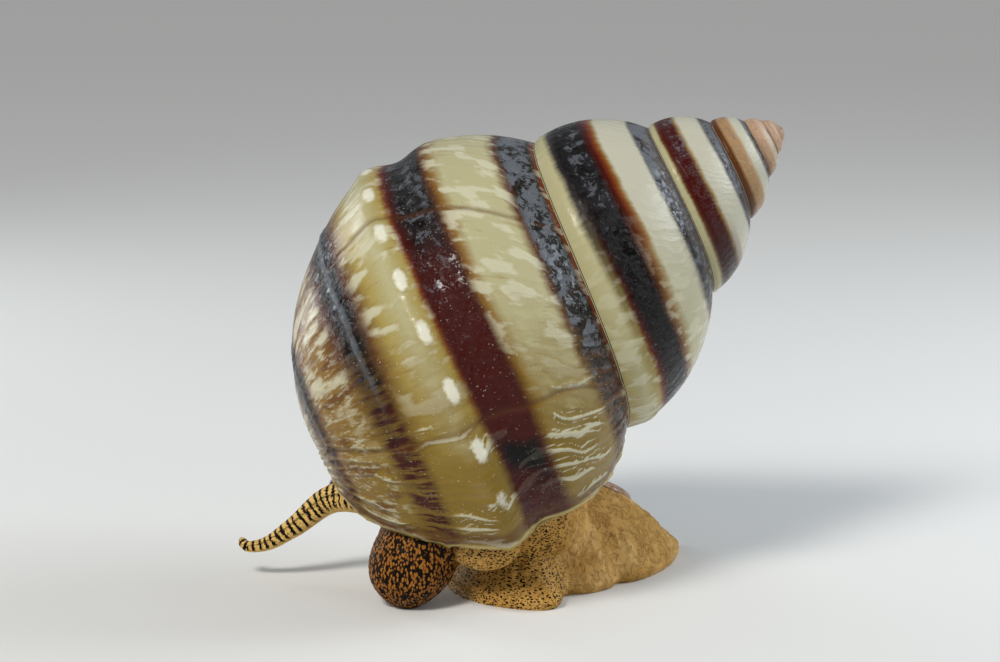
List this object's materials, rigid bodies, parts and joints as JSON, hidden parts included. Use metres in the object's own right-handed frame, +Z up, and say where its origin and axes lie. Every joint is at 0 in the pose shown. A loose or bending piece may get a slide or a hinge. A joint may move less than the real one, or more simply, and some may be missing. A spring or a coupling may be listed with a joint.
{
  "type": "striped freshwater snail model",
  "caption": "Life-size crawling freshwater river snail with a high-spired, dark-banded shell, snout, tentacles, broad foot and operculum, standing on its sole.",
  "frame": {"origin": "middle of the foot, on the flat sole that rests on the floor", "axes": "+Z up, -Y the way the head points, +X the snail's left side, where the spire leans"},
  "size_m": [0.0235, 0.0269, 0.0276],
  "materials": {
    "shell_last_whorl": "glossy olive-yellow shell with dark brown spiral bands and fine growth ridges",
    "shell_spire": "glossy cream shell with maroon and grey spiral bands",
    "flesh": "wet tan skin with fine dark specks and wrinkles",
    "snout": "wet dark brown skin with dense orange-gold dots",
    "tentacle": "wet gold skin with dark cross bars",
    "eye": "glossy black",
    "operculum": "dark horny brown with concentric lines"
  },
  "bodies": {
    "root": {"eye_left": "eye", "eye_right": "eye", "foot_front": "flesh", "foot_middle": "flesh", "foot_stalk": "flesh", "foot_tail": "flesh", "head": "flesh", "mantle_collar": "flesh", "neck": "flesh", "neck_lobe_left": "flesh", "neck_lobe_right": "flesh", "operculum": "operculum", "shell_apex": "shell_spire", "shell_body_whorl": "shell_last_whorl", "shell_penultimate_whorl": "shell_spire", "shell_third_whorl": "shell_spire", "snout": "snout", "tentacle_left_base": "tentacle", "tentacle_left_tip": "tentacle", "tentacle_right_base": "tentacle", "tentacle_right_tip": "tentacle"}
  },
  "joints": []
}
